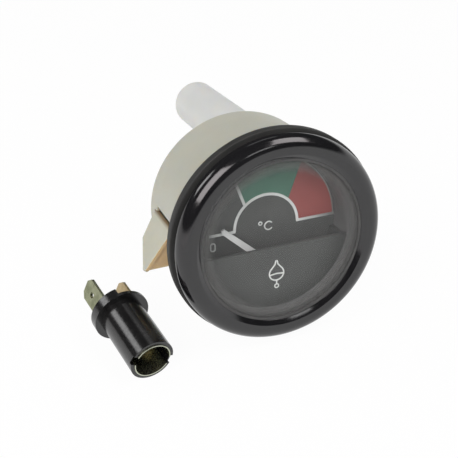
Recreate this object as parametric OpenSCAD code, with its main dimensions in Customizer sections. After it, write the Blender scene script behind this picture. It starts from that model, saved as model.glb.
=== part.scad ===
// Panel temperature gauge with snap-in case and a separate push-in lamp holder.
// The gauge lies on its side on a bench, dial forwards (-Y), lamp tube uppermost.
// Origin: on the gauge axis, in the plane where the gasket meets the panel.
// Inside in_gauge() +Z points out of the dial and z = 0 is the panel seat.
// Inside in_holder() +Z points out of the mouth and z = 0 is the flange's front face.

/* [Bezel and gasket] */
// How far the bezel stands out from the case's side, where it is widest
bezel_out = 2.4; // [2:0.1:3]
// Radius of the bezel's rounded outer side
bezel_round = 3.3; // [3:0.1:3.5]
// How far the bezel's front lip reaches inwards from the case's side
lip_cover = 3.55; // [3:0.05:4.5]
// Thickness of the bezel's front lip
lip_t = 1.1; // [0.8:0.1:1.6]
// Thickness of the rolled lip behind the case flange
crimp_t = 0.7; // [0.5:0.1:1]
// Wall of the bezel in its waist
bezel_wall = 0.7; // [0.5:0.1:1]
// Thickness of the panel gasket
gasket_t = 2.4; // [1.5:0.1:3.5]
// How far the panel gasket stands out from the case's side
gasket_out = 3.1; // [2.6:0.1:3.6]

/* [Lens] */
// Thickness of the glass
lens_t = 1.8; // [1.2:0.1:2.5]
// Thickness of the seal between glass and bezel
seal_t = 0.4; // [0.3:0.1:0.8]
// How far that seal shows inside the lip
seal_show = 0.65; // [0.2:0.05:1.2]

/* [Case] */
// Radius of the case at the panel neck
case_r = 26; // [25.8:0.1:26.4]
// How much the case's radius shrinks towards its rear end
case_taper = 0.3; // [0.1:0.1:0.6]
// Room inside the case behind the terminal board
rear_room = 1.4; // [1.3:0.1:6]
// Side wall of the case
case_wall = 1.8; // [1.4:0.1:2]
// Rear wall of the case
rear_wall = 2; // [1.5:0.1:2.5]
// Fillet on the case's rear edge
case_edge_r = 0.6; // [0.3:0.1:1.2]
// How far the case flange stands out under the bezel
flange_step = 0.6; // [0.4:0.1:0.9]
// Thickness of that flange
flange_t = 1.3; // [1:0.1:2]
// Length of plain neck between the seat and the tab windows
neck_len = 6; // [5.8:0.1:6.4]

/* [Dial] */
// Depth of the dial face below the glass
dial_depth = 9.3; // [8.6:0.1:9.6]
// Thickness of the dial plate
dial_t = 0.6; // [0.5:0.1:0.8]
// How far the shroud reaches inwards from the case's side, under the glass
shroud_cover = 4.6; // [4.4:0.1:5.5]
// How much the shroud's opening narrows towards the dial
shroud_draft = 0.9; // [0.3:0.1:1.5]
// Thickness of the printed marks
print_t = 0.1; // [0.08:0.01:0.15]
// Radius of the half circle line
arc_r = 9.1; // [8.5:0.1:9.8]
// Width of the half circle line
line_w = 0.75; // [0.5:0.05:1]
// Gap between the coloured zones and the shroud
zone_margin = 0.9; // [0.5:0.1:1.4]
// Width of the thin line round the coloured zones
rim_line_w = 0.3; // [0.2:0.05:0.4]
// Gap between the right base line and the shroud
right_margin = 0.3; // [0.2:0.1:3]
// Gap between the left base line and the shroud, which is wider
left_margin = 4.2; // [0.3:0.1:5]
// Direction of the line where the green zone starts, seen from the pivot
green_start = 109.5; // [105:0.5:116]
// Direction of the line between green and red, seen from the pivot
red_start = 69; // [60:0.5:75]

/* [Mask] */
// Height of the mask's face above the dial
mask_h = 6.5; // [5.8:0.1:6.8]
// Thickness of the mask
mask_t = 1; // [0.8:0.1:1.2]
// Distance of the mask's straight edge below the axis
mask_drop = 3.45; // [2.5:0.05:4.5]

/* [Pointer] */
// Length of the pointer from the pivot to its tip
pointer_len = 18.8; // [17:0.1:19.5]
// Width of the pointer at its tip
pointer_w = 1.4; // [0.8:0.1:1.6]
// Direction of the pointer at rest, seen from the front
pointer_rest = 137.6; // [134:0.1:139]
// Height of the pointer's middle above the dial
pointer_h = 3.2; // [2.8:0.1:3.6]
// Radius of the pointer shaft
shaft_r = 0.6; // [0.5:0.05:0.8]

/* [Movement] */
// Radius of the moving magnet
magnet_r = 5.2; // [4.5:0.1:5.4]
// Thickness of the moving magnet
magnet_t = 3.8; // [3:0.1:4]
// Outer radius of the coil former
former_r = 7.2; // [7:0.1:7.5]
// Depth of the winding on each coil
winding_t = 1.1; // [0.8:0.1:1.1]
// Half the width of each coil, with the gap that the shaft passes
coil_half_w = 4.2; // [3.6:0.1:4.3]
// Half the gap between the two halves of a coil
coil_gap = 1.4; // [1.2:0.1:2]
// Outer radius of the shield can
can_r = 12.2; // [12.1:0.1:12.6]
// Wall of the shield can
can_wall = 0.6; // [0.4:0.1:0.7]
// Gap between the shield can and the case wall under it
can_gap = 2; // [1.8:0.1:2.2]

/* [Rear terminals] */
// Width of a rear blade
blade_w = 6.3; // [4.8:0.1:6.3]
// Thickness of a rear blade
blade_t = 0.8; // [0.5:0.1:0.8]
// How far the rear blades stand out behind the case
blade_out = 8.6; // [7:0.1:10]
// Sideways offset of the two upper blades
blade_x = 8; // [7:0.1:9]
// Distance of the two upper blades above the pivot
blades_rise = 0.5; // [0:0.1:1]
// Distance of the lower blade below the pivot
blade_fall = 7; // [6.5:0.1:7.5]

/* [Lamp tube] */
// Outer radius of the lamp tube
tube_r = 6.8; // [6.7:0.05:7]
// Bore radius of the lamp tube
tube_bore_r = 6; // [5.95:0.01:6.1]
// Length of the lamp tube behind the case
tube_len = 35.3; // [30:0.1:40]
// Gap between the lamp tube's side and the case's side
tube_inset = 0.2; // [0.1:0.1:0.9]
// Direction of the lamp tube from the axis, 90 is straight up on the dial
lamp_angle = 87; // [84:0.5:93]
// Radius of the light opening between case and tube
light_r = 4.8; // [4:0.1:4.8]

/* [Snap tabs] */
// Depth of a tab's hinge line under the case's side
hinge_depth = 0.85; // [0.8:0.05:0.9]
// Height of a tab's hinge line above the axis
hinge_y = 2.4; // [2:0.1:2.8]
// Radius of the rounded root of a tab
root_r = 0.6; // [0.55:0.05:0.65]
// Radius of the journals at the ends of that root
journal_r = 0.5; // [0.45:0.05:0.55]
// Thickness of a tab
tab_t = 0.9; // [0.7:0.1:1]
// How far the tab stands out at rest, from straight down
tab_flare = 38.7; // [35:0.1:40]
// Length of a tab, down from its hinge line
tab_len = 13; // [12:0.1:13.2]
// Thickness of the stiffening web under a tab
web_t = 1; // [0.8:0.1:1.2]

/* [Lamp holder] */
// Radius of the holder's shank
shank_r = 5.85; // [5.7:0.01:5.9]
// Length of the shank in front of the flange
shank_len = 17.6; // [16:0.1:20]
// Radius of the holder's flange
flange_r = 7.6; // [7.2:0.1:8.5]
// Thickness of the holder's flange
holder_flange_t = 2.8; // [2.4:0.1:3.5]
// Bore radius of the bayonet sleeve
bulb_r = 4.65; // [4.6:0.01:4.7]
// Wall of the bayonet sleeve
sleeve_t = 0.28; // [0.25:0.01:0.3]
// Depth of solid base in front of the flange
base_depth = 3.2; // [2.6:0.1:4]
// Distance of each blade from the holder's axis
holder_blade_x = 4.6; // [4.4:0.05:4.8]
// Length of the steel blade behind the flange
steel_out = 10.5; // [8:0.1:12]
// Length of the brass blade behind the flange
brass_out = 9.4; // [7:0.1:11]
// Length of the contact spring
spring_len = 3; // [2.6:0.1:3.2]
// Travel of the centre contact
contact_travel = 1.5; // [1:0.1:1.6]

/* [Places on the bench] */
// How far the gauge is rolled about its own axis
gauge_roll = 1.7; // [0:0.1:5]
// Place of the holder's flange across the bench
holder_x = -39.9; // [-60:0.1:-38]
// Place of the holder's flange along the bench
holder_y = 4.2; // [-5:0.1:20]
// Direction of the holder's mouth, turned from straight forwards
holder_turn = 10.1; // [-10:0.1:20]
// How far the holder is rolled about its own axis
holder_roll = -20; // [-30:0.5:0]

/* [Hidden] */
$fn = 96;
eps = 0.01;

// Clearances
slip = 0.1;
running = 0.05;
seat_gap = 0.05;

// Levels along the gauge axis, from the panel seat
crimp_z = gasket_t + crimp_t;
rim_z = crimp_z + flange_t;
lens_z = rim_z + lens_t;
lip_z = lens_z + seal_t;
front_z = lip_z + lip_t;
dial_z = rim_z - dial_depth;
dial_back_z = dial_z - dial_t;
mask_z = dial_z + mask_h;
pointer_z = dial_z + pointer_h;

// Radii of the case, the front end and the dial
bezel_r = case_r + bezel_out;
gasket_r = case_r + gasket_out;
lip_r = case_r - lip_cover;
seal_in_r = lip_r - seal_show;
case_rear_r = case_r - case_taper;
flange_out_r = case_r + flange_step;
channel_r = flange_out_r + seat_gap;
waist_r = channel_r + bezel_wall;
glass_r = flange_out_r - 0.3;
round_r = bezel_r - bezel_round;
round_z = front_z - bezel_round;
face_z = front_z - 0.1;
chamfer_w = 1.25;
chamfer_h = 0.9;
skirt_z = round_z - 1;
case_in_r = case_r - case_wall;
insert_r = case_in_r - slip;
shroud_top_r = case_r - shroud_cover;
aperture_r = shroud_top_r - shroud_draft;
zone_r = aperture_r - zone_margin;
pivot_drop = case_in_r - can_r - can_gap;
hinge_x = case_r - hinge_depth;
lamp_offset = case_rear_r - tube_r - tube_inset;
ledge_w = 1.2;
ledge_h = 1.3;
relief_w = 0.8;
relief_depth = 0.4;

// Radius of the shroud's opening at a level between the dial and the glass
function shroud_r(z) = aperture_r + (z - dial_z) * shroud_draft / (rim_z - dial_z);

// Levels of the movement, from the dial plate backwards
outer_front_z = dial_back_z - 0.8;
inner_front_z = outer_front_z - winding_t - slip;
former_front_z = inner_front_z - winding_t - slip;
former_wall = 1.9;
cavity_gap = 0.6;
cavity_front_z = former_front_z - former_wall;
magnet_front_z = cavity_front_z - cavity_gap;
magnet_back_z = magnet_front_z - magnet_t;
cavity_back_z = magnet_back_z - cavity_gap;
former_back_z = cavity_back_z - former_wall;
former_split_z = (former_front_z + former_back_z) / 2;
inner_back_z = former_back_z - slip - winding_t;
outer_back_z = inner_back_z - slip - winding_t;
can_in_z = outer_back_z - 0.4;
can_back_z = can_in_z - can_wall;
board_gap = 0.4;
board_front_z = can_back_z - board_gap;
board_t = 1.2;
board_back_z = board_front_z - board_t;
rear_in_z = board_back_z - rear_room;
case_len = rear_wall - rear_in_z;
post_offset = 6.58;
post_r = 2;
screw_r = 0.8;
screw_head_r = 1.6;
screw_head_h = 1;
board_head_r = 1.3;
bearing_r = 1.6;
bearing_bore_r = shaft_r + 0.03;
board_post_x = blade_x + 3;
board_post_y = -pivot_drop - blade_fall - 1;
board_post_r = 1.5;
board_edge_x = board_post_x + 2.5;
board_low_y = -pivot_drop - blade_fall - 4;
board_high_y = -pivot_drop + blades_rise + 6.5;

// Snap tab and its window in the case
window_front_z = -neck_len;
tab_front_z = window_front_z - 0.2;
tab_back_z = -case_len + 5.1;
window_back_z = tab_back_z - 0.4;
slit_back_z = tab_back_z + 1.4;
slit_top = hinge_y + root_r + 1.6;
window_top = hinge_y + root_r + 0.15;
window_bottom = hinge_y - tab_len - 1.2;
tab_corner_s = 0.6 * tab_len;
tab_corner_z = tab_back_z + 2.5;
tab_end_r = 1.3;
journal_len = 1;
web_drop = 9.6;
web_in_x = hinge_x - 0.6;

// How the gauge leans: gasket edge and case edge both touch the bench
lean_a = case_rear_r - case_edge_r - gasket_r;
lean_b = case_len - case_edge_r;
lean = atan2(lean_b, lean_a) - acos(-case_edge_r / norm([lean_a, lean_b]));
bench_z = -gasket_r * cos(lean);

// Lamp holder
holder_lean = asin((flange_r - shank_r) / norm([shank_len, flange_r - shank_r]));
sleeve_out_r = bulb_r + sleeve_t;
holder_bore_r = sleeve_out_r + 0.02;
foot_t = 0.8;
foot_z = base_depth;
spring_z = foot_z + foot_t;
disc_z = spring_z + spring_len;
disc_t = 0.8;
contact_top_h = 1.2;
contact_stem_r = 0.9;
sleeve_z = disc_z + disc_t + contact_top_h + 0.2;
pin_slot_w = 2.2;
pin_slot_depth = 6.5;
tang_w = 4.5;
mouth_step = 0.3;

module in_gauge() {
  rotate([90 - lean, 0, 0]) rotate([0, 0, gauge_roll]) children();
}

module in_holder() {
  translate([holder_x, holder_y, bench_z + flange_r * cos(holder_lean)])
    rotate([0, 0, holder_turn]) rotate([90 + holder_lean, 0, 0]) rotate([0, 0, holder_roll])
      children();
}

module at_pivot() {
  translate([0, -pivot_drop, 0]) children();
}

// A tube section with walls between two radii, from z0 up to z1
module ring(r_in, r_out, z0, z1) {
  rotate_extrude() translate([r_in, z0]) square([r_out - r_in, z1 - z0]);
}

module disc(r, z0, z1) {
  translate([0, 0, z0]) cylinder(r = r, h = z1 - z0);
}

// A straight printed stroke with round ends
module stroke(a, b, w) {
  d = b - a;
  translate(a) rotate(atan2(d[1], d[0])) translate([0, -w / 2]) square([norm(d), w]);
  translate(a) circle(d = w, $fn = 24);
  translate(b) circle(d = w, $fn = 24);
}

module ring_2d(r_in, r_out) {
  difference() {
    circle(r = r_out);
    circle(r = r_in);
  }
}

// The part of the plane above the x axis
module upper_half() {
  translate([-case_r, 0]) square([2 * case_r, case_r]);
}

// A wedge seen from the pivot, between two directions
module pivot_wedge(a0, a1) {
  far = 3 * case_r;
  translate([0, -pivot_drop])
    polygon([[0, 0], far * [cos(a0), sin(a0)], far * [cos((a0 + a1) / 2), sin((a0 + a1) / 2)],
             far * [cos(a1), sin(a1)]]);
}

module print_on(z) {
  translate([0, 0, z]) linear_extrude(print_t) children();
}

// Bezel: one spun ring, C shaped in section, crimped behind the case flange.
// Its rounded side ends in a sharp rear rim, with a narrower waist behind it
module bezel_ring() {
  color([0.05, 0.05, 0.055]) in_gauge() difference() {
    union() {
      rotate_extrude(convexity = 4)
        polygon([[lip_r, round_z], [lip_r, face_z - chamfer_h], [lip_r + chamfer_w, face_z],
                 [round_r, face_z], [waist_r, round_z], [waist_r, gasket_t],
                 [case_r + seat_gap, gasket_t], [case_r + seat_gap, round_z]]);
      difference() {
        rotate_extrude(convexity = 4) translate([round_r, round_z]) circle(r = bezel_round);
        disc(bezel_r + 1, 0, skirt_z);
      }
    }
    ring(lip_r - 2, channel_r, crimp_z, lip_z);
  }
}

module panel_gasket() {
  color([0.16, 0.16, 0.16]) in_gauge() ring(case_r + seat_gap, gasket_r, 0, gasket_t);
}

module lens_seal() {
  color([0.1, 0.1, 0.1]) in_gauge() ring(seal_in_r, glass_r, lens_z, lip_z);
}

module lens() {
  color([0.85, 0.9, 0.9, 0.35]) in_gauge() disc(glass_r, rim_z, lens_z);
}

// Shroud: ring between the glass and the dial, held in the case
module dial_shroud() {
  color([0.12, 0.12, 0.12]) in_gauge() rotate_extrude(convexity = 4)
    polygon([[aperture_r, dial_z], [shroud_top_r, rim_z], [insert_r, rim_z], [insert_r, dial_z]]);
}

// Mask: raised plate over the lower dial, with a skirt that stands on the dial
module dial_mask() {
  skirt_r = aperture_r - slip;
  color([0.2, 0.2, 0.2]) in_gauge() difference() {
    union() {
      rotate_extrude() polygon([[0, mask_z - mask_t],
                                [shroud_r(mask_z - mask_t) - slip, mask_z - mask_t],
                                [shroud_r(mask_z) - slip, mask_z], [0, mask_z]]);
      ring(skirt_r - 1, skirt_r, dial_z, mask_z - mask_t + eps);
    }
    translate([-case_r, -mask_drop, dial_z - 1]) cube([2 * case_r, 2 * case_r, mask_h + 2]);
  }
}

// Generic sign for fluid temperature: flask with its level, and a drop
module mask_pictogram() {
  flask_y = -11.1;
  flask_r = 2.25;
  w = 0.36;
  neck_y = -8.4;
  neck_w = 0.42;
  top_y = -7.4;
  drop_y = -14.9;
  join = 45;
  color([0.88, 0.88, 0.86]) in_gauge() print_on(mask_z) union() {
    difference() {
      translate([0, flask_y]) ring_2d(flask_r - w, flask_r);
      translate([0, flask_y]) polygon([[0, 0], 5 * [sin(join), cos(join)], [0, 8],
                                       5 * [-sin(join), cos(join)]]);
    }
    for (s = [-1, 1]) {
      stroke([s * (flask_r - w / 2) * sin(join), flask_y + (flask_r - w / 2) * cos(join)],
             [s * neck_w, neck_y], w);
      stroke([s * neck_w, neck_y], [s * 0.2, top_y], w);
    }
    stroke([-flask_r + w / 2, flask_y - 0.35], [0, flask_y - 0.1], w);
    stroke([0, flask_y - 0.1], [flask_r - w / 2, flask_y - 0.35], w);
    stroke([0, flask_y - flask_r], [0, drop_y + 0.9], w);
    translate([0, drop_y]) ring_2d(0.4, 0.72);
  }
}

module dial_plate() {
  color([0.15, 0.15, 0.15]) in_gauge() difference() {
    disc(insert_r, dial_back_z, dial_z);
    at_pivot() disc(2, dial_back_z - 1, dial_z + 1);
    for (s = [-1, 1])
      at_pivot() translate([s * post_offset, -post_offset, 0])
        disc(screw_r + running, dial_back_z - 1, dial_z + 1);
  }
}

// White lines: half circle, base lines, start of the green zone, outer edge of the zones
module dial_lines() {
  line_foot_r = arc_r - line_w / 2 + 0.1;
  color([0.88, 0.88, 0.86]) in_gauge() print_on(dial_z) union() {
    intersection() {
      ring_2d(arc_r - line_w / 2, arc_r + line_w / 2);
      upper_half();
    }
    translate([line_foot_r, -line_w / 2])
      square([aperture_r - right_margin - line_foot_r, line_w]);
    translate([left_margin - aperture_r, -line_w / 2])
      square([aperture_r - left_margin - line_foot_r, line_w]);
    intersection() {
      ring_2d(zone_r + 0.05, zone_r + 0.05 + rim_line_w);
      translate([0, line_w / 2 - 0.1]) upper_half();
      pivot_wedge(5, green_start);
    }
    intersection() {
      ring_2d(arc_r, zone_r + 0.05 + rim_line_w);
      upper_half();
      translate([0, -pivot_drop]) rotate(green_start) translate([0, -line_w / 2])
        square([2 * case_r, line_w]);
    }
  }
}

// A nought beside the low end, and a degree sign with C in the middle
module dial_numerals() {
  w = 0.36;
  nought = [left_margin - aperture_r + 1, -3.3];
  nought_r = 0.62;
  nought_h = 0.5;
  letter_r = 1.35;
  color([0.88, 0.88, 0.86]) in_gauge() print_on(dial_z) union() {
    translate(nought) difference() {
      hull_free_oval(nought_r + w / 2, nought_h);
      hull_free_oval(nought_r - w / 2, nought_h);
    }
    translate([-1.7, 1]) ring_2d(0.3, 0.62);
    translate([0.7, 0]) difference() {
      ring_2d(letter_r - w, letter_r);
      polygon([[0, 0], [3, 2.2], [3, -2.2]]);
    }
  }
}

// A round-ended oval, high along y
module hull_free_oval(r, half) {
  translate([-r, -half]) square([2 * r, 2 * half]);
  for (s = [-1, 1]) translate([0, s * half]) circle(r = r, $fn = 32);
}

module zone(a0, a1) {
  edge = arc_r + line_w / 2 + 0.05;
  print_on(dial_z) intersection() {
    ring_2d(edge, zone_r);
    translate([0, line_w / 2 + 0.05]) upper_half();
    pivot_wedge(a0, a1);
  }
}

module green_zone() {
  color([0.25, 0.45, 0.36]) in_gauge() zone(red_start + 0.1, green_start - 1.1);
}

module red_zone() {
  color([0.58, 0.26, 0.26]) in_gauge() zone(10, red_start);
}

// Pointer: tapered blade with a square-cut tip, round hub and counterweight
module pointer() {
  blade_h = 0.6;
  root_w = pointer_w + 0.5;
  tail = 5.4;
  tail_w = 3;
  hub_r = 2.2;
  hub_h = 1.4;
  color([0.78, 0.78, 0.76]) in_gauge() at_pivot() translate([0, 0, pointer_z])
    rotate(pointer_rest) difference() {
      union() {
        translate([0, 0, -blade_h / 2]) linear_extrude(blade_h)
          polygon([[-tail, -tail_w / 2], [-tail, tail_w / 2], [0, root_w / 2],
                   [pointer_len - 0.8, pointer_w / 2], [pointer_len, pointer_w / 2 - 0.5],
                   [pointer_len - 0.3, -pointer_w / 2], [0, -root_w / 2]]);
        translate([0, 0, -hub_h / 2]) cylinder(r = hub_r, h = hub_h);
      }
      translate([0, 0, -hub_h]) cylinder(r = shaft_r, h = 2 * hub_h);
    }
}

module pointer_shaft() {
  color([0.7, 0.7, 0.72]) in_gauge() at_pivot()
    disc(shaft_r, former_back_z + 0.6, pointer_z + 1.1);
}

module rotor_magnet() {
  color([0.3, 0.3, 0.32]) in_gauge() at_pivot()
    ring(shaft_r, magnet_r, magnet_back_z, magnet_front_z);
}

// One half of the coil former: cavity for the magnet and four corner posts
module former_half(z_end, z_cavity, z_post) {
  rib_w = 2.4;
  rib_inset = 0.3;
  low = min(z_end, former_split_z);
  high = max(z_end, former_split_z);
  cavity_low = min(z_cavity, former_split_z) - (z_cavity > former_split_z ? eps : 0);
  cavity_high = max(z_cavity, former_split_z) + (z_cavity < former_split_z ? eps : 0);
  difference() {
    union() {
      disc(former_r, low, high);
      for (sx = [-1, 1], sy = [-1, 1]) {
        translate([sx * post_offset, sy * post_offset, 0])
          disc(post_r, min(z_post, former_split_z), max(z_post, former_split_z));
        rotate(45 * sy * (2 - sx)) translate([former_r - 1, -rib_w / 2, low + rib_inset])
          cube([norm([post_offset, post_offset]) - former_r - 0.2, rib_w, high - low - 2 * rib_inset]);
      }
    }
    disc(magnet_r + 0.5, cavity_low, cavity_high);
    disc(bearing_r, low - 1, high + 1);
    for (s = [-1, 1]) translate([s * post_offset, -post_offset, 0])
      disc(screw_r, min(z_post, former_split_z) - eps, max(z_post, former_split_z) + eps);
  }
}

module front_former() {
  color([0.75, 0.72, 0.62]) in_gauge() at_pivot()
    former_half(former_front_z, cavity_front_z, dial_back_z);
}

module rear_former() {
  color([0.75, 0.72, 0.62]) in_gauge() at_pivot()
    former_half(former_back_z, cavity_back_z, can_in_z);
}

module front_bearing() {
  color([0.75, 0.6, 0.3]) in_gauge() at_pivot()
    ring(bearing_bore_r, bearing_r, cavity_front_z, former_front_z);
}

// The rear bearing is blind: the shaft's end stands on it
module rear_bearing() {
  color([0.75, 0.6, 0.3]) in_gauge() at_pivot() difference() {
    disc(bearing_r, former_back_z, cavity_back_z);
    disc(bearing_bore_r, former_back_z + 0.5, cavity_back_z + 1);
  }
}

// A flat coil in two halves that leave a gap for the shaft
module coil(reach, z0, z1) {
  for (s = [-1, 1]) translate([s > 0 ? coil_gap : -coil_half_w, 0, 0]) difference() {
    translate([0, -reach - winding_t, z0 - winding_t])
      cube([coil_half_w - coil_gap, 2 * (reach + winding_t), z1 - z0 + 2 * winding_t]);
    translate([-1, -reach, z0]) cube([coil_half_w + 2, 2 * reach, z1 - z0]);
  }
}

module inner_coil() {
  color([0.72, 0.4, 0.2]) in_gauge() at_pivot()
    coil(former_r + slip, former_back_z - slip, former_front_z + slip);
}

module outer_coil() {
  color([0.72, 0.4, 0.2]) in_gauge() at_pivot() rotate(90)
    coil(former_r + winding_t + 2 * slip, inner_back_z - slip, inner_front_z + slip);
}

module shield_can() {
  color([0.6, 0.6, 0.62]) in_gauge() at_pivot() difference() {
    disc(can_r, can_back_z, outer_front_z);
    disc(can_r - can_wall, can_in_z, outer_front_z + 1);
    disc(1, can_back_z - 1, can_in_z + 1);
    for (s = [-1, 1]) translate([s * post_offset, -post_offset, 0])
      disc(screw_r + running, can_back_z - 1, can_in_z + 1);
  }
}

module movement_screws() {
  color([0.7, 0.7, 0.68]) in_gauge() at_pivot() for (s = [-1, 1])
    translate([s * post_offset, -post_offset, 0]) difference() {
      union() {
        disc(screw_r, can_back_z, dial_z);
        disc(screw_head_r, can_back_z - screw_head_h, can_back_z);
      }
      translate([-screw_head_r - 1, -0.2, can_back_z - screw_head_h - 0.6])
        cube([2 * screw_head_r + 2, 0.4, 1]);
    }
}

// Board between the can and the rear wall, on two posts of the case
module terminal_board() {
  color([0.5, 0.4, 0.2]) in_gauge() difference() {
    intersection() {
      translate([-board_edge_x, board_low_y, board_back_z])
        cube([2 * board_edge_x, board_high_y - board_low_y, board_t]);
      disc(case_in_r - 2 * slip, board_back_z - 1, board_front_z + 1);
    }
    for (s = [-1, 1]) {
      translate([s * board_post_x, board_post_y, 0])
        disc(screw_r + running, board_back_z - 1, board_front_z + 1);
      translate([s * post_offset, -pivot_drop - post_offset, 0])
        disc(screw_head_r + 2 * slip, board_back_z - 1, board_front_z + 1);
    }
    for (p = blade_places()) translate([p[0], p[1], 0])
      blade_slot(2.2, board_back_z - 1, board_front_z + 1);
  }
}

module board_screws() {
  color([0.7, 0.7, 0.68]) in_gauge() for (s = [-1, 1])
    translate([s * board_post_x, board_post_y, 0]) {
      disc(screw_r, board_back_z - 1.2, board_front_z);
      disc(board_head_r, board_front_z, board_front_z + board_gap + 1.2);
    }
}

module calibration_resistor() {
  r = 0.6;
  body_len = 6;
  lead_len = 10;
  lead_r = 0.25;
  from_edge = 1.6;
  color([0.7, 0.6, 0.45]) in_gauge()
    translate([0, board_high_y - from_edge, board_back_z - r]) union() {
      translate([-body_len / 2, 0, 0]) rotate([0, 90, 0]) cylinder(r = r, h = body_len);
      translate([-lead_len / 2, 0, 0]) rotate([0, 90, 0]) cylinder(r = lead_r, h = lead_len);
      for (s = [-1, 1]) translate([s * lead_len / 2, 0, 0]) cylinder(r = lead_r, h = r);
    }
}

// Places of the three rear blades: supply, sender and ground
function blade_places() = [[-blade_x, blades_rise - pivot_drop],
                           [blade_x, blades_rise - pivot_drop],
                           [0, -pivot_drop - blade_fall]];

module blade_slot(w, z0, z1) {
  translate([-w / 2 - running, -blade_t / 2 - running, z0])
    cube([w + 2 * running, blade_t + 2 * running, z1 - z0]);
}

// A push-on blade, tip towards -z, with its detent hole
module push_blade(w, t, z_root, z_tip) {
  chamfer = 1.4;
  detent_in = 4.2;
  detent_r = 0.85;
  rotate([90, 0, 0]) translate([0, 0, -t / 2]) linear_extrude(t) difference() {
    polygon([[-w / 2, z_root], [-w / 2, z_tip + chamfer], [-w / 2 + chamfer, z_tip],
             [w / 2 - chamfer, z_tip], [w / 2, z_tip + chamfer], [w / 2, z_root]]);
    translate([0, z_tip + detent_in]) circle(r = detent_r, $fn = 32);
  }
}

module rear_blades() {
  color([0.8, 0.66, 0.36]) in_gauge() for (p = blade_places()) translate([p[0], p[1], 0]) {
    push_blade(blade_w, blade_t, rear_in_z, -case_len - blade_out);
    translate([-blade_w / 2 - 0.8, -blade_t / 2, rear_in_z])
      cube([blade_w + 1.6, blade_t, board_back_z - rear_in_z]);
    translate([-1.1, -blade_t / 2, board_back_z]) cube([2.2, blade_t, board_t + 0.1]);
  }
}

// Case: cup with a front flange, a ledge for the dial and a light opening at the back.
// A relief groove under the gasket lets the panel sit square on it
module case_profile() {
  polygon([[0, -case_len], [case_rear_r - case_edge_r, -case_len],
           [case_rear_r, case_edge_r - case_len], [case_r, -neck_len], [case_r, 0],
           [case_r - relief_depth, 0], [case_r - relief_depth, relief_w], [case_r, relief_w],
           [case_r, crimp_z],
           [flange_out_r, crimp_z], [flange_out_r, rim_z], [case_in_r, rim_z],
           [case_in_r, dial_back_z], [case_in_r - ledge_w, dial_back_z],
           [case_in_r - ledge_w, dial_back_z - 0.3], [case_in_r, dial_back_z - ledge_h],
           [case_in_r, rear_in_z], [0, rear_in_z]]);
  translate([case_rear_r - case_edge_r, case_edge_r - case_len]) circle(r = case_edge_r);
}

module at_lamp() {
  translate([lamp_offset * cos(lamp_angle), lamp_offset * sin(lamp_angle), 0]) children();
}

module case_shell() {
  spigot_r = light_r + 0.65;
  color([0.78, 0.78, 0.75]) in_gauge() difference() {
    union() {
      rotate_extrude(convexity = 8) case_profile();
      for (s = [-1, 1]) translate([s * board_post_x, board_post_y, 0])
        disc(board_post_r, rear_in_z - eps, board_back_z);
    }
    at_lamp() disc(spigot_r + running, -case_len - 1, rear_in_z + 1);
    for (p = blade_places()) translate([p[0], p[1], 0])
      blade_slot(blade_w, -case_len - 1, rear_in_z + 1);
    for (s = [-1, 1]) translate([s * board_post_x, board_post_y, 0])
      disc(screw_r, board_back_z - 1.2, board_back_z + 1);
    for (s = [0, 1]) mirror([s, 0, 0]) tab_window();
  }
}

// What a tab needs in the case wall, drawn for the left side
module tab_window() {
  outside_x = case_r + 2;
  cut = outside_x - hinge_x + 5;
  translate([-outside_x, window_bottom, window_back_z])
    cube([cut, window_top - window_bottom, window_front_z - window_back_z]);
  translate([-outside_x, window_top - eps, slit_back_z])
    cube([cut, slit_top - window_top, window_front_z - slit_back_z]);
  translate([-hinge_x, hinge_y, 0])
    disc(journal_r + running, window_back_z - journal_len - running,
         window_front_z + journal_len + running);
}

// Lamp tube: spigot in the light opening, long bore for the lamp holder
module lamp_tube() {
  spigot_r = light_r + 0.65;
  tube_end_z = -case_len - tube_len;
  color([0.88, 0.88, 0.87]) in_gauge() at_lamp() difference() {
    union() {
      disc(tube_r, tube_end_z, -case_len);
      disc(spigot_r, -case_len - eps, rear_in_z);
    }
    disc(light_r, -case_len - 2, rear_in_z + 1);
    disc(tube_bore_r, tube_end_z - 1, -case_len - 1);
  }
}

// Snap tab, drawn for the left side: s runs down the tab from its hinge line
module snap_tab() {
  web_front_z = tab_front_z - 0.4;
  lower_s = web_drop / cos(tab_flare);
  inner = root_r - tab_t;
  translate([-hinge_x, hinge_y, 0]) {
    disc(root_r, tab_back_z, tab_front_z);
    disc(journal_r, tab_back_z - journal_len - 0.4, tab_back_z + eps);
    disc(journal_r, tab_front_z - eps, tab_front_z + journal_len + 0.2);
    rotate(-90 - tab_flare) difference() {
      translate([0, -root_r, 0]) rotate([90, 0, 0]) translate([0, 0, -tab_t]) linear_extrude(tab_t)
        tab_outline();
      translate([-2, -root_r - 1, tab_back_z - 1])
        cube([2, tab_t + 2, tab_front_z - tab_back_z + 2]);
    }
  }
  translate([0, 0, web_front_z - web_t]) linear_extrude(web_t) difference() {
    translate([-hinge_x, hinge_y]) polygon([[0, 0],
      lower_s * [-sin(tab_flare), -cos(tab_flare)] + 0.5 * inner * [-cos(tab_flare), sin(tab_flare)],
      [hinge_x - web_in_x, -web_drop], [hinge_x - web_in_x, -1]]);
    circle(r = 1);
  }
}

// Outline of a tab in its own plane: x down the tab, y along the gauge axis
module tab_outline() {
  end_s = tab_len - tab_end_r;
  polygon([[0, tab_front_z], [0, tab_back_z], [1.4, tab_back_z], [tab_corner_s, tab_corner_z],
           [tab_len, tab_front_z - tab_end_r], [end_s, tab_front_z]]);
  translate([end_s, tab_front_z - tab_end_r]) circle(r = tab_end_r, $fn = 48);
}

module left_snap_tab() {
  color([0.76, 0.76, 0.72]) in_gauge() snap_tab();
}

module right_snap_tab() {
  color([0.76, 0.76, 0.72]) in_gauge() mirror([1, 0, 0]) snap_tab();
}

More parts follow.
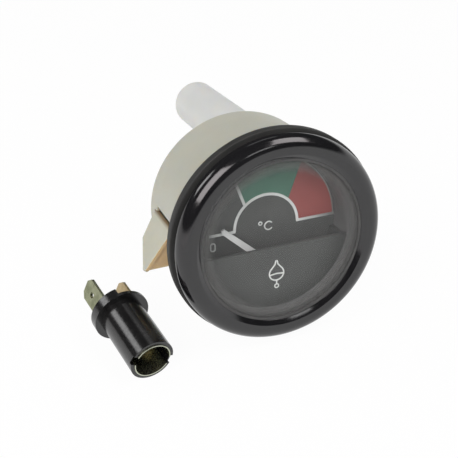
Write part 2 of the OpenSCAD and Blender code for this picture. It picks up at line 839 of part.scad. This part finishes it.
// Holder body: shank with notched mouth, flange stepped at the back, slots for the blades
module holder_body() {
  groove_r = holder_bore_r + 0.6;
  slot_floor = shank_len - pin_slot_depth;
  notch_depth = 0.8;
  step_x = -holder_blade_x + blade_t / 2 + running + 0.75;
  color([0.06, 0.06, 0.06]) in_holder() difference() {
    union() {
      disc(shank_r, -eps, shank_len);
      disc(flange_r, -holder_flange_t, 0);
    }
    disc(holder_bore_r, spring_z, shank_len + 1);
    translate([-2, -tang_w / 2 - running, foot_z]) cube([holder_blade_x + 2.6, tang_w + 2 * running, 2]);
    disc(2.8, foot_z, spring_z + eps);
    translate([step_x, -flange_r - 1, -holder_flange_t - 1])
      cube([2 * flange_r, 2 * flange_r + 2, holder_flange_t]);
    for (s = [-1, 1]) translate([s * holder_blade_x, 0, 0]) {
      translate([-blade_t / 2 - running, -tang_w / 2 - running, -4])
        cube([blade_t + 2 * running, tang_w + 2 * running, foot_z + 4.5]);
    }
    translate([-holder_blade_x - blade_t / 2 - running, -tang_w / 2 - running, 0])
      cube([blade_t + 2 * running, tang_w + 2 * running, sleeve_z]);
    intersection() {
      translate([-shank_r, -pin_slot_w / 2 - slip, slot_floor - 0.2])
        cube([2 * shank_r, pin_slot_w + 2 * slip, pin_slot_depth + 1]);
      disc(groove_r, 0, shank_len + 1);
    }
    translate([-shank_r - 1, -pin_slot_w / 2 - slip, shank_len - notch_depth])
      cube([2 * shank_r + 2, pin_slot_w + 2 * slip, notch_depth + 1]);
  }
}

// Bayonet sleeve: two slots with short hooks. Its lower edge keeps the contact disc in
module bayonet_sleeve() {
  top_z = shank_len + mouth_step;
  hook = 1.2;
  slot_floor = shank_len - pin_slot_depth;
  color([0.75, 0.76, 0.7]) in_holder() difference() {
    ring(bulb_r, sleeve_out_r, sleeve_z, top_z);
    for (s = [0, 180]) rotate(s) {
      translate([2, -pin_slot_w / 2, slot_floor]) cube([6, pin_slot_w, pin_slot_depth + 2]);
      translate([2, -pin_slot_w / 2, slot_floor]) cube([6, pin_slot_w + hook, pin_slot_w]);
    }
  }
}

// Contact disc: wider than the sleeve's bore, with a flat that passes the steel blade
module contact_disc() {
  flat_x = holder_blade_x - blade_t / 2 - slip;
  color([0.35, 0.22, 0.12]) in_holder() difference() {
    ring(contact_stem_r, holder_bore_r - 0.15, disc_z, disc_z + disc_t);
    translate([-flat_x - 2, -holder_bore_r, disc_z - 1]) cube([2, 2 * holder_bore_r, disc_t + 2]);
  }
}

// Centre contact: domed head on the disc, stem inside the spring
module centre_contact() {
  head_r = 1.7;
  color([0.8, 0.66, 0.36]) in_holder() {
    disc(contact_stem_r, disc_z - 0.6, disc_z + disc_t);
    translate([0, 0, disc_z + disc_t]) intersection() {
      cylinder(r = head_r, h = contact_top_h);
      translate([0, 0, contact_top_h - 3]) sphere(r = 3);
    }
  }
}

// Points of a circle round the spring's wire, at one place along its turns
function wire_ring(r, w, pitch, a, n) = [for (i = [0 : n - 1])
  let (b = 360 * i / n)
    [(r + w * cos(b)) * cos(a), (r + w * cos(b)) * sin(a), pitch * a / 360 + w * sin(b)]];

// One unbroken open coil, as a swept tube with closed ends
module coil_spring(r, w, height, turns) {
  steps = 20;
  n = 8;
  count = steps * turns;
  pitch = (height - 2 * w) / turns;
  points = [for (k = [0 : count]) each wire_ring(r, w, pitch, 360 * k / steps, n)];
  sides = [for (k = [0 : count - 1], i = [0 : n - 1])
    let (a = k * n + i, b = k * n + (i + 1) % n)
      each [[a, b, b + n], [a, b + n, a + n]]];
  caps = concat([for (i = [1 : n - 2]) [0, i + 1, i]],
                [for (i = [1 : n - 2]) [count * n, count * n + i, count * n + i + 1]]);
  translate([0, 0, w]) polyhedron(points = points, faces = concat(sides, caps), convexity = 10);
}

module contact_spring() {
  end_gap = 0.02;
  color([0.7, 0.7, 0.72]) in_holder() translate([0, 0, spring_z + end_gap])
    coil_spring(1.9, 0.2, spring_len - 2 * end_gap, 4);
}

// Steel blade of the holder: it ends against the sleeve
module steel_blade() {
  color([0.62, 0.62, 0.52]) in_holder() translate([-holder_blade_x, 0, 0]) {
    rotate(90) push_blade(blade_w, blade_t, -holder_flange_t, -holder_flange_t - steel_out);
    translate([-blade_t / 2, -tang_w / 2, -holder_flange_t])
      cube([blade_t, tang_w, holder_flange_t + sleeve_z]);
  }
}

// Brass blade: it bends under the spring
module brass_blade() {
  step_z = -1;
  color([0.78, 0.62, 0.4]) in_holder() {
    translate([holder_blade_x, 0, 0]) {
      rotate(90) push_blade(blade_w, blade_t, step_z, -holder_flange_t - brass_out);
      translate([-blade_t / 2, -tang_w / 2, step_z]) cube([blade_t, tang_w, foot_z + foot_t - step_z]);
    }
    translate([-2, -tang_w / 2, foot_z]) cube([holder_blade_x + 2, tang_w, foot_t]);
  }
}

bezel_ring();
panel_gasket();
lens_seal();
lens();
dial_shroud();
dial_mask();
mask_pictogram();
dial_plate();
dial_lines();
dial_numerals();
green_zone();
red_zone();
pointer();
pointer_shaft();
rotor_magnet();
front_former();
rear_former();
front_bearing();
rear_bearing();
inner_coil();
outer_coil();
shield_can();
movement_screws();
terminal_board();
board_screws();
calibration_resistor();
rear_blades();
case_shell();
lamp_tube();
left_snap_tab();
right_snap_tab();
holder_body();
bayonet_sleeve();
contact_disc();
centre_contact();
contact_spring();
steel_blade();
brass_blade();
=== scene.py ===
# Looks of the panel temperature gauge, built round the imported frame.
# Sizes are in millimetres in the gauge's own frame until place() turns them into metres
# in the world frame. The gauge frame has +Z out of the dial and z = 0 at the panel seat.
import math

import bpy
from mathutils import Matrix, Vector


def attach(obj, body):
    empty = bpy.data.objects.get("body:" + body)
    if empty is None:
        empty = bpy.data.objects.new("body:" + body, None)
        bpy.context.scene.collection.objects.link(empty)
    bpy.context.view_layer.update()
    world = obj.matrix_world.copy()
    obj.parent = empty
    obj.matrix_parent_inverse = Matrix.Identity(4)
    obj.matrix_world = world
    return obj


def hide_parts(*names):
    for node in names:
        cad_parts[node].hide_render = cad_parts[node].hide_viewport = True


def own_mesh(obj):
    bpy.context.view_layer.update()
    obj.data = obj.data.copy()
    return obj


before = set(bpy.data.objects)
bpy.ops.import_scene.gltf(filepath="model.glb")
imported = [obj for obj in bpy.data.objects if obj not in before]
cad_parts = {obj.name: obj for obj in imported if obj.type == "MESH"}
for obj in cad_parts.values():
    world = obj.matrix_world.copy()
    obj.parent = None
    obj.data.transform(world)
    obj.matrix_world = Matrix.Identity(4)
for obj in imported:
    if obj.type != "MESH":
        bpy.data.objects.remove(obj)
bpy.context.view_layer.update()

MM = 0.001

# How the gauge lies, as in the part's source
GASKET_R = 29.1
LEAN = math.radians(7.642)
ROLL = math.radians(1.7)
BENCH_Z = -GASKET_R * math.cos(LEAN)

# Camera, found from the ellipses in the photo: its place in the gauge frame, its turn
# about the dial's upright, its angle above the gauge's axis, and its roll
CAM_PLACE = (-79.57, 88.32, 173.08)
CAM_AZIMUTH = math.radians(21.27)
CAM_HEIGHT = math.radians(24.72)
CAM_ROLL = math.radians(-0.21)
CAM_LENS = 62.88
CAM_SENSOR = 36.0
CAM_SHIFT = (-0.0011, 0.0015)
CAM_CLIP = 0.01

# Spans of a noise value: the one that a roughness follows, and the one between two tones
NOISE_SPAN = (0.3, 0.7)
TONE_SPAN = (0.35, 0.65)
# How deep red, green and blue light scatter in moulded plastic, in metres
SCATTER_DEPTH = (0.0030, 0.0019, 0.0010)
# Roughness of clear and of dusty glass
DUST_ROUGH = (0.0, 0.03)
# Grime on the glass: the distances from the axis, in metres, at which it starts and is
# full, and the least and the most that it then covers
FILM_RADII = (0.0178, 0.0213)
FILM_COVER = (0.45, 0.60)
# The dial's lines are darkened by painted shade between these places to the right of the axis, in metres
LINE_SHADE_SPAN = (0.009, 0.019)
LINE_SHADE_MOST = 0.8
# A tab gets a painted warm glow where it faces the front, and painted shade above its hinge, as a height in
# metres
TAB_GLOW_FACING = (0.6, 0.9)
TAB_SHADE_HEIGHTS = (0.0013, 0.0021)

# Outline of the bezel and the gasket, as radii and heights above the panel seat. A
# middle is that of a rounding, and the pairs of a crown or flank are points
RING_R = 26.05
GASKET_TOP = 2.4
GASKET_EDGE_R = 28.8
GASKET_EDGE = 0.3
FLANGE_UNDER = 3.1
POCKET_R = 26.65
LIP_R = 22.5
LIP_UNDER = 6.6
LIP_EDGE = 0.1
BEVEL_MIDDLE = (23.78, 7.40)
BEVEL_ROUND = (0.25, 0.20)
CROWN = [(24.3, 7.6), (24.7, 7.67)]
CORNER_MIDDLE = (25.1, 4.4)
CORNER_ROUND = 3.3
CORNER_STEPS = 40
FLANK = [(28.34, 4.0), (28.22, 3.7)]
REAR_MIDDLE = (28.0, 3.6)
REAR_EDGE = 0.2
GROOVE_R = 27.35
GROOVE_TOP = 3.35
SPIN_STEPS = 256
SHARP = math.radians(40.0)

# Floor in metres: half its side, its gap below the bench, how white it is seen, and the
# places to the left at which mirrors see it so and see it dark
FLOOR_HALF = 3.0
FLOOR_GAP = 0.00005
FLOOR_WHITE = 0.96
FLOOR_WHITE_X = -0.08
FLOOR_DARK_X = -0.20

# World: its light on the object, the dark room in mirrors, and the upper edge of the
# white backdrop in mirrors, which rises to the right
WORLD_LIGHT = 0.34
ROOM = 0.05
BACKDROP_TOP = (-0.04, 0.06)
BACKDROP_SLOPE = 0.35

# Lamps: name, direction and the way of the length in the gauge frame, length and width
# in metres, glow and colour
LAMP_DISTANCE = 0.8
PINKISH = (1.0, 0.94, 0.95)
PLAIN = (1.0, 1.0, 1.0)
LAMPS = (
    ("left_box", (-0.627, 0.559, 0.542), (0.631, 0.772, -0.065), 0.47, 0.58, 5.0, PINKISH),
    ("top_box", (0.43, 0.83, 0.355), (-0.889, 0.409, 0.204), 0.36, 0.52, 4.4, PINKISH),
    ("lip_strip", (0.12, 0.578, 0.807), (-0.974, -0.087, 0.209), 0.24, 0.09, 3.0, PLAIN),
    ("rear_box", (-0.72, 0.57, -0.40), (0.48, 0.0, -0.87), 0.24, 0.28, 4.0, PLAIN),
    ("back_box", (0.12, 0.88, -0.47), (1.0, 0.0, 0.0), 0.30, 0.10, 0.9, PLAIN),
)


# Places and directions
def to_world(v):
    """A vector of the gauge frame, turned into the world frame."""
    x, y, z = v
    return Vector((x, y * math.sin(LEAN) - z * math.cos(LEAN), y * math.cos(LEAN) + z * math.sin(LEAN)))


def place(v):
    """A point in gauge millimetres, rolled with the gauge, in world metres."""
    x, y, z = v
    rolled = (x * math.cos(ROLL) - y * math.sin(ROLL), x * math.sin(ROLL) + y * math.cos(ROLL), z)
    return to_world(rolled) * MM


# Node helpers
def object_noise(tree, scale, detail=2.0, stretch=(1.0, 1.0, 1.0)):
    """Noise in object coordinates. The scale is in features per metre."""
    coord = tree.nodes.new("ShaderNodeTexCoord")
    mapping = tree.nodes.new("ShaderNodeMapping")
    mapping.inputs["Scale"].default_value = stretch
    noise = tree.nodes.new("ShaderNodeTexNoise")
    noise.inputs["Scale"].default_value = scale
    noise.inputs["Detail"].default_value = detail
    tree.links.new(coord.outputs["Object"], mapping.inputs["Vector"])
    tree.links.new(mapping.outputs["Vector"], noise.inputs["Vector"])
    return noise.outputs["Fac"]


def two_tones(tree, source, dark, pale):
    """A colour that drifts from dark to pale as the source rises through TONE_SPAN."""
    node = tree.nodes.new("ShaderNodeValToRGB")
    for element, position, colour in zip(node.color_ramp.elements, TONE_SPAN, (dark, pale)):
        element.position = position
        element.color = (*colour, 1.0)
    tree.links.new(source, node.inputs["Fac"])
    return node.outputs["Color"]


def map_range(tree, source, given, wanted, smooth=False):
    """The source with the span given turned into the span wanted, held at its ends."""
    node = tree.nodes.new("ShaderNodeMapRange")
    if smooth:
        node.interpolation_type = "SMOOTHSTEP"
    for label, value in zip(("From Min", "From Max", "To Min", "To Max"), (*given, *wanted)):
        node.inputs[label].default_value = value
    tree.links.new(source, node.inputs["Value"])
    return node.outputs["Result"]


def calculate(tree, operation, first, second):
    """A math node of two values. The second may be a plain number."""
    node = tree.nodes.new("ShaderNodeMath")
    node.operation = operation
    tree.links.new(first, node.inputs[0])
    if isinstance(second, float):
        node.inputs[1].default_value = second
    else:
        tree.links.new(second, node.inputs[1])
    return node.outputs["Value"]


def vector_measure(tree, kind, operation, vector):
    """A node that gives the dot or cross product of a texture coordinate and a fixed vector."""
    coord = tree.nodes.new("ShaderNodeTexCoord")
    node = tree.nodes.new("ShaderNodeVectorMath")
    node.operation = operation
    node.inputs[1].default_value = vector
    tree.links.new(coord.outputs[kind], node.inputs[0])
    return node


def axis_distance(tree):
    """Distance of the shaded point from the gauge's axis, in metres."""
    cross = vector_measure(tree, "Object", "CROSS_PRODUCT", to_world((0.0, 0.0, 1.0)))
    length = tree.nodes.new("ShaderNodeVectorMath")
    length.operation = "LENGTH"
    tree.links.new(cross.outputs["Vector"], length.inputs[0])
    return length.outputs["Value"]


def mix_shaders(tree, share, first, second):
    """The first shader where the share is 0, and the second where it is 1."""
    node = tree.nodes.new("ShaderNodeMixShader")
    for socket, source in zip(node.inputs, (share, first, second)):
        tree.links.new(source, socket)
    return node.outputs["Shader"]


def background(tree, strength):
    """A white background of the world, where a strength of 1 is full white."""
    node = tree.nodes.new("ShaderNodeBackground")
    node.inputs["Color"].default_value = (1.0, 1.0, 1.0, 1.0)
    node.inputs["Strength"].default_value = strength
    return node.outputs["Background"]


# Materials
def new_material(name):
    mat = bpy.data.materials.new(name)
    mat.use_nodes = True
    tree = mat.node_tree
    shader = tree.nodes["Principled BSDF"]
    return mat, tree, shader


def surface(name, dark, pale, rough, metal=0.0, grain=1500.0, depth=0.00001, stains=120.0,
            stretch=(1.0, 1.0, 1.0), ior=1.5, scatter=0.0):
    """A solid surface: colour drifts between two tones, and a fine grain, whose bumps are
    depth metres high, varies its roughness. Grain and stains are in features per metre."""
    mat, tree, shader = new_material(name)
    tone = object_noise(tree, stains, detail=3.0)
    tree.links.new(two_tones(tree, tone, dark, pale), shader.inputs["Base Color"])
    fine = object_noise(tree, grain, stretch=stretch)
    tree.links.new(map_range(tree, fine, NOISE_SPAN, rough), shader.inputs["Roughness"])
    bump = tree.nodes.new("ShaderNodeBump")
    bump.inputs["Distance"].default_value = depth
    bump.inputs["Strength"].default_value = 1.0
    tree.links.new(fine, bump.inputs["Height"])
    tree.links.new(bump.outputs["Normal"], shader.inputs["Normal"])
    shader.inputs["Metallic"].default_value = metal
    shader.inputs["IOR"].default_value = ior
    shader.inputs["Subsurface Weight"].default_value = scatter
    shader.inputs["Subsurface Radius"].default_value = SCATTER_DEPTH
    shader.inputs["Subsurface Scale"].default_value = 1.0
    return mat


def tint(mat, hue, kind, way, span, most=1.0):
    """Turn a surface's base colour towards a hue. The share grows from none to most over a
    span, measured along a way of the gauge frame. The kind "Object" measures the place in
    metres, and "Normal" how far the surface faces that way."""
    tree = mat.node_tree
    socket = tree.nodes["Principled BSDF"].inputs["Base Color"]
    measure = vector_measure(tree, kind, "DOT_PRODUCT", to_world(way))
    share = map_range(tree, measure.outputs["Value"], span, (0.0, most))
    mix = tree.nodes.new("ShaderNodeMix")
    mix.data_type = "RGBA"
    tree.links.new(socket.links[0].from_socket, mix.inputs["A"])
    mix.inputs["B"].default_value = (*hue, 1.0)
    tree.links.new(share, mix.inputs["Factor"])
    tree.links.new(mix.outputs["Result"], socket)


def glass(name):
    """Clear glass that lets lamps through, with a little dust, and a film of grime near its rim."""
    mat, tree, shader = new_material(name)
    shader.inputs["Base Color"].default_value = (0.97, 0.98, 0.98, 1.0)
    shader.inputs["Transmission Weight"].default_value = 1.0
    shader.inputs["IOR"].default_value = 1.3
    dust = object_noise(tree, scale=900.0, detail=4.0)
    tree.links.new(map_range(tree, dust, NOISE_SPAN, DUST_ROUGH), shader.inputs["Roughness"])
    film = tree.nodes.new("ShaderNodeBsdfPrincipled")
    film.inputs["Base Color"].default_value = (0.112, 0.116, 0.112, 1.0)
    film.inputs["Roughness"].default_value = 0.8
    rim = map_range(tree, axis_distance(tree), FILM_RADII, (0.0, 1.0), smooth=True)
    patches = map_range(tree, object_noise(tree, scale=45.0, detail=1.0), NOISE_SPAN, FILM_COVER)
    share = calculate(tree, "MULTIPLY", rim, patches)
    filmed = mix_shaders(tree, share, shader.outputs["BSDF"], film.outputs["BSDF"])
    path = tree.nodes.new("ShaderNodeLightPath")
    clear = tree.nodes.new("ShaderNodeBsdfTransparent")
    mix = mix_shaders(tree, path.outputs["Is Shadow Ray"], filmed, clear.outputs["BSDF"])
    tree.links.new(mix, tree.nodes["Material Output"].inputs["Surface"])
    return mat


# Rubber, enamel and glass of the front
ENAMEL = surface("black_enamel", (0.005, 0.005, 0.006), (0.008, 0.008, 0.009), (0.10, 0.16),
                 grain=2500.0, depth=0.000001, ior=1.65)
RUBBER = surface("gasket_rubber", (0.020, 0.021, 0.020), (0.030, 0.031, 0.029), (0.55, 0.75),
                 grain=6000.0, depth=0.00002)
SEAL = surface("seal_rubber", (0.060, 0.062, 0.061), (0.080, 0.082, 0.080), (0.45, 0.6),
               grain=6000.0, depth=0.00001)
GLASS = glass("clear_glass")

# Dial, its prints and the pointer
SHROUD = surface("shroud_plastic", (0.066, 0.067, 0.066), (0.078, 0.079, 0.078), (0.45, 0.6),
                 grain=9000.0, depth=0.000003)
DIAL = surface("dial_paint", (0.052, 0.054, 0.052), (0.060, 0.062, 0.059), (0.6, 0.7),
               grain=4000.0, depth=0.0000004)
MASK = surface("mask_plastic", (0.036, 0.038, 0.036), (0.041, 0.043, 0.041), (0.5, 0.6),
               grain=4000.0, depth=0.0000004)
WHITE_PRINT = surface("white_print", (0.50, 0.52, 0.50), (0.60, 0.62, 0.60), (0.5, 0.6), grain=9000.0)
LINES = surface("line_print_and_painted_shade", (0.52, 0.54, 0.52), (0.62, 0.64, 0.62), (0.5, 0.6), grain=9000.0)
# Painted shade: the printed lines darken towards the right of the axis
tint(LINES, (0.075, 0.078, 0.075), "Object", (1.0, 0.0, 0.0), LINE_SHADE_SPAN, LINE_SHADE_MOST)
GREEN_PRINT = surface("green_print", (0.046, 0.136, 0.092), (0.056, 0.152, 0.105), (0.5, 0.6), grain=9000.0)
RED_PRINT = surface("red_print", (0.230, 0.048, 0.043), (0.255, 0.057, 0.050), (0.5, 0.6), grain=9000.0)
POINTER = surface("pointer_paint", (0.42, 0.43, 0.42), (0.50, 0.51, 0.50), (0.4, 0.5), grain=5000.0)

# Mouldings
CASE = surface("case_moulding", (0.416, 0.427, 0.360), (0.446, 0.457, 0.390), (0.38, 0.5),
               grain=2500.0, depth=0.000008, stains=60.0, scatter=0.5)
TAB = surface("tab_moulding_and_painted_light", (0.485, 0.495, 0.408), (0.518, 0.528, 0.440), (0.38, 0.5),
              grain=2500.0, depth=0.000008, stains=60.0, scatter=0.5)
# Painted warm glow of light where the tab faces the front
tint(TAB, (0.62, 0.47, 0.27), "Normal", (0.0, 0.0, 1.0), TAB_GLOW_FACING)
# Painted shade above the tab's hinge, where the slit lies
tint(TAB, (0.20, 0.15, 0.085), "Object", (0.0, 1.0, 0.0), TAB_SHADE_HEIGHTS)
TUBE = surface("tube_moulding", (0.600, 0.620, 0.600), (0.635, 0.655, 0.635), (0.36, 0.48),
               grain=2500.0, depth=0.00001, stains=60.0, scatter=0.3)
HOLDER = surface("holder_moulding", (0.006, 0.006, 0.006), (0.010, 0.010, 0.010), (0.16, 0.26),
                 grain=2000.0, depth=0.000006, ior=1.6)
BOARD = surface("bonded_board", (0.22, 0.13, 0.05), (0.28, 0.17, 0.07), (0.4, 0.6), grain=3000.0)
CONTACT = surface("contact_plastic", (0.014, 0.015, 0.014), (0.022, 0.023, 0.021), (0.4, 0.6), grain=3000.0)

# Metals
SLEEVE = surface("plated_sleeve", (0.42, 0.44, 0.34), (0.56, 0.58, 0.47), (0.2, 0.35), metal=1.0,
                 grain=3000.0, stains=300.0)
STEEL = surface("plated_steel", (0.55, 0.55, 0.54), (0.68, 0.68, 0.66), (0.18, 0.32), metal=1.0,
                grain=3000.0, stains=300.0, stretch=(1.0, 6.0, 1.0))
ZINC = surface("zinc_blade", (0.215, 0.228, 0.135), (0.345, 0.362, 0.232), (0.25, 0.45), metal=1.0,
               grain=2500.0, stains=400.0)
BRASS = surface("dull_brass", (0.42, 0.32, 0.17), (0.56, 0.45, 0.27), (0.28, 0.45), metal=1.0,
                grain=2500.0, stains=400.0)
COPPER = surface("copper_wire", (0.45, 0.19, 0.08), (0.58, 0.26, 0.12), (0.25, 0.4), metal=1.0,
                 grain=9000.0, depth=0.00004, stretch=(1.0, 1.0, 8.0))
MAGNET = surface("dark_magnet", (0.05, 0.05, 0.055), (0.08, 0.08, 0.085), (0.5, 0.7), grain=4000.0)

BY_NODE = {
    "bezel_ring": ENAMEL, "panel_gasket": RUBBER, "lens_seal": SEAL, "lens": GLASS,
    "dial_shroud": SHROUD, "dial_mask": MASK, "mask_pictogram": WHITE_PRINT, "dial_plate": DIAL,
    "dial_lines": LINES, "dial_numerals": WHITE_PRINT, "green_zone": GREEN_PRINT,
    "red_zone": RED_PRINT, "pointer": POINTER, "pointer_shaft": STEEL, "rotor_magnet": MAGNET,
    "front_former": CASE, "rear_former": CASE, "front_bearing": BRASS, "rear_bearing": BRASS,
    "inner_coil": COPPER, "outer_coil": COPPER, "shield_can": STEEL, "movement_screws": STEEL,
    "terminal_board": BOARD, "board_screws": STEEL, "calibration_resistor": BOARD,
    "rear_blades": BRASS, "case_shell": CASE, "lamp_tube": TUBE, "left_snap_tab": TAB,
    "right_snap_tab": TAB, "holder_body": HOLDER, "bayonet_sleeve": SLEEVE,
    "contact_disc": CONTACT, "centre_contact": BRASS, "contact_spring": STEEL,
    "steel_blade": ZINC, "brass_blade": BRASS,
}
for node_name, material in BY_NODE.items():
    node_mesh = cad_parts[node_name].data
    node_mesh.materials.clear()
    node_mesh.materials.append(material)


# Spun pieces
def spin(name, profile, material, body):
    """A closed ring spun round the gauge axis from points (radius, z)."""
    verts = []
    for i in range(SPIN_STEPS):
        angle = 2 * math.pi * i / SPIN_STEPS
        for r, z in profile:
            verts.append(place((r * math.cos(angle), r * math.sin(angle), z)))
    count = len(profile)
    faces = []
    for i in range(SPIN_STEPS):
        j = (i + 1) % SPIN_STEPS
        for k in range(count):
            m = (k + 1) % count
            faces.append((i * count + k, i * count + m, j * count + m, j * count + k))
    mesh = bpy.data.meshes.new(name)
    mesh.from_pydata(verts, [], faces)
    mesh.materials.append(material)
    mesh.update()
    piece = bpy.data.objects.new(name, mesh)
    bpy.context.scene.collection.objects.link(piece)
    mesh.shade_smooth()
    mesh.set_sharp_from_angle(angle=SHARP)
    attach(piece, body)
    return piece


def rounded(r, z, wide, high, start, end, count):
    """Points round (r, z) on part of an oval, angles in degrees from outwards."""
    points = []
    for i in range(count + 1):
        a = math.radians(start + (end - start) * i / count)
        points.append((r + wide * math.cos(a), z + high * math.sin(a)))
    return points


# Bezel and gasket, with the small roundings that catch light. The bezel's outline goes
# from its pocket over the lip, the crown and the outer corner to the crimped rear edge
BEZEL_PROFILE = (
    [(POCKET_R, FLANGE_UNDER), (POCKET_R, LIP_UNDER), (LIP_R, LIP_UNDER)]
    + rounded(LIP_R + LIP_EDGE / 2, LIP_UNDER + LIP_EDGE, LIP_EDGE, LIP_EDGE, 180, 120, 3)
    + rounded(*BEVEL_MIDDLE, *BEVEL_ROUND, 130, 95, 4)
    + CROWN
    + rounded(*CORNER_MIDDLE, CORNER_ROUND, CORNER_ROUND, 90, 0, CORNER_STEPS)
    + FLANK
    + rounded(*REAR_MIDDLE, REAR_EDGE, REAR_EDGE, 0, -90, 4)
    + [(GROOVE_R, GROOVE_TOP), (GROOVE_R, GASKET_TOP), (RING_R, GASKET_TOP), (RING_R, FLANGE_UNDER)])
GASKET_PROFILE = (
    [(RING_R, 0.0), (RING_R, GASKET_TOP)]
    + rounded(GASKET_EDGE_R, GASKET_TOP - GASKET_EDGE, GASKET_EDGE, GASKET_EDGE, 90, 0, 5)
    + rounded(GASKET_EDGE_R, REAR_EDGE, GASKET_EDGE, REAR_EDGE, 0, -90, 4))
bezel = spin("bezel", BEZEL_PROFILE, ENAMEL, "gauge")
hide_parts("bezel_ring")
gasket = spin("gasket", GASKET_PROFILE, RUBBER, "gauge")
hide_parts("panel_gasket")

# Contact spring: shaped as in the source, as a copy of its mesh on the lamp holder
spring = bpy.data.objects.new("spring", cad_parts["contact_spring"].data.copy())
bpy.context.scene.collection.objects.link(spring)
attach(spring, "lamp_holder")
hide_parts("contact_spring")
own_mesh(spring)


# Camera
def photo_camera():
    """The camera at the photo's place. Its right, up and back ways are worked out in the
    gauge frame."""
    right = Vector((math.cos(CAM_AZIMUTH), 0.0, math.sin(CAM_AZIMUTH)))
    back = Vector((-math.sin(CAM_AZIMUTH) * math.cos(CAM_HEIGHT), math.sin(CAM_HEIGHT),
                   math.cos(CAM_AZIMUTH) * math.cos(CAM_HEIGHT)))
    up = back.cross(right)
    rolled_right = right * math.cos(CAM_ROLL) + up * math.sin(CAM_ROLL)
    rolled_up = up * math.cos(CAM_ROLL) - right * math.sin(CAM_ROLL)
    ways = [to_world(v) for v in (rolled_right, rolled_up, back)]
    data = bpy.data.cameras.new("camera")
    data.lens = CAM_LENS
    data.sensor_width = CAM_SENSOR
    data.shift_x = CAM_SHIFT[0]
    data.shift_y = CAM_SHIFT[1]
    data.clip_start = CAM_CLIP
    camera = bpy.data.objects.new("camera", data)
    camera.matrix_world = Matrix.Translation(to_world(CAM_PLACE) * MM) @ Matrix(ways).transposed().to_4x4()
    bpy.context.scene.collection.objects.link(camera)
    bpy.context.scene.camera = camera


# Floor, world and lamps
def largest(tree, sockets):
    """The largest of several values."""
    value = sockets[0]
    for other in sockets[1:]:
        value = calculate(tree, "MAXIMUM", value, other)
    return value


def white_floor():
    """A floor that keeps shadows. The camera and glass see it white, and mirrors see it
    grow dark to the left."""
    mesh = bpy.data.meshes.new("floor")
    z = BENCH_Z * MM - FLOOR_GAP
    corners = [(-FLOOR_HALF, -FLOOR_HALF, z), (FLOOR_HALF, -FLOOR_HALF, z),
               (FLOOR_HALF, FLOOR_HALF, z), (-FLOOR_HALF, FLOOR_HALF, z)]
    mesh.from_pydata(corners, [], [(0, 1, 2, 3)])
    floor = bpy.data.objects.new("floor", mesh)
    bpy.context.scene.collection.objects.link(floor)
    mat, tree, shader = new_material("floor_white")
    shader.inputs["Base Color"].default_value = (0.82, 0.82, 0.82, 1.0)
    shader.inputs["Roughness"].default_value = 0.9
    shader.inputs["Specular IOR Level"].default_value = 0.1
    white = tree.nodes.new("ShaderNodeEmission")
    path = tree.nodes.new("ShaderNodeLightPath")
    across = vector_measure(tree, "Object", "DOT_PRODUCT", (1.0, 0.0, 0.0))
    near = map_range(tree, across.outputs["Value"], (FLOOR_DARK_X, FLOOR_WHITE_X), (0.0, 1.0))
    mirrored = calculate(tree, "MULTIPLY", path.outputs["Is Glossy Ray"], near)
    seen = largest(tree, [path.outputs["Is Camera Ray"], mirrored, path.outputs["Is Transmission Ray"]])
    share = calculate(tree, "MULTIPLY", seen, FLOOR_WHITE)
    mix = mix_shaders(tree, share, shader.outputs["BSDF"], white.outputs["Emission"])
    tree.links.new(mix, tree.nodes["Material Output"].inputs["Surface"])
    mesh.materials.append(mat)


def studio_world():
    """White behind the object and low in mirrors, higher on the right. Above it, mirrors
    show a dark room."""
    world = bpy.data.worlds.new("studio")
    bpy.context.scene.world = world
    world.use_nodes = True
    tree = world.node_tree
    tree.nodes.clear()
    path = tree.nodes.new("ShaderNodeLightPath")
    height = vector_measure(tree, "Generated", "DOT_PRODUCT", (-BACKDROP_SLOPE, 0.0, 1.0))
    low = map_range(tree, height.outputs["Value"], BACKDROP_TOP, (1.0, 0.0))
    mirrored = calculate(tree, "MULTIPLY", path.outputs["Is Glossy Ray"], low)
    seen = largest(tree, [path.outputs["Is Camera Ray"], path.outputs["Is Transmission Ray"], mirrored])
    light = background(tree, WORLD_LIGHT)
    room = background(tree, ROOM)
    unseen = mix_shaders(tree, path.outputs["Is Glossy Ray"], light, room)
    pick = mix_shaders(tree, seen, unseen, background(tree, 1.0))
    out = tree.nodes.new("ShaderNodeOutputWorld")
    tree.links.new(pick, out.inputs["Surface"])


def softbox(name, toward, along, length, width, glow, colour):
    """A box of light in the gauge frame's direction toward, its length along the second one.
    Its glow is how bright a mirror would show it, where 1 is white."""
    data = bpy.data.lights.new(name, "AREA")
    data.shape = "RECTANGLE"
    data.size = length
    data.size_y = width
    data.energy = glow * math.pi * length * width
    data.color = colour
    lamp = bpy.data.objects.new(name, data)
    back_way = to_world(toward).normalized()
    long_way = to_world(along)
    long_way = (long_way - back_way * long_way.dot(back_way)).normalized()
    wide_way = back_way.cross(long_way)
    turned = Matrix((long_way, wide_way, back_way)).transposed().to_4x4()
    lamp.matrix_world = Matrix.Translation(back_way * LAMP_DISTANCE) @ turned
    bpy.context.scene.collection.objects.link(lamp)


photo_camera()
bpy.context.scene.view_settings.view_transform = "Standard"
white_floor()
studio_world()
for lamp_values in LAMPS:
    softbox(*lamp_values)
